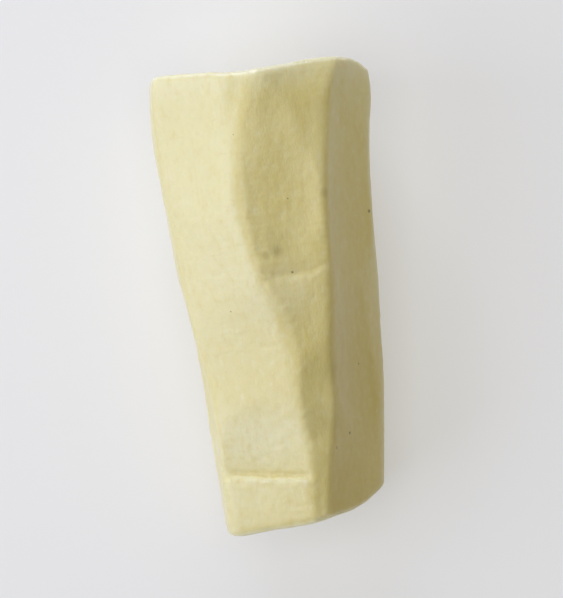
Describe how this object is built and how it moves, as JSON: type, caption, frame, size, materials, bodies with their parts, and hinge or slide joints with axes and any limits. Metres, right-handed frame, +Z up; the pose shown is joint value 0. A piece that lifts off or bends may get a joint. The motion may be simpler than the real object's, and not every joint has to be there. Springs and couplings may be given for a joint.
{
  "type": "peeled cassava root",
  "caption": "One knife-peeled length of cassava root, lying on its side: a tapered, many-sided solid with soft ridges and both ends chopped across.",
  "frame": {"origin": "on the table, under the middle of the root's bounding box", "axes": "+Y along the root towards its thick end, +Z up, +X to the right with the thick end away from the viewer"},
  "size_m": [0.0616, 0.1282, 0.0586],
  "materials": {
    "cassava_flesh": "moist, pale yellow root flesh"
  },
  "bodies": {
    "root": {"peeled_cassava_root": "cassava_flesh"}
  },
  "joints": []
}
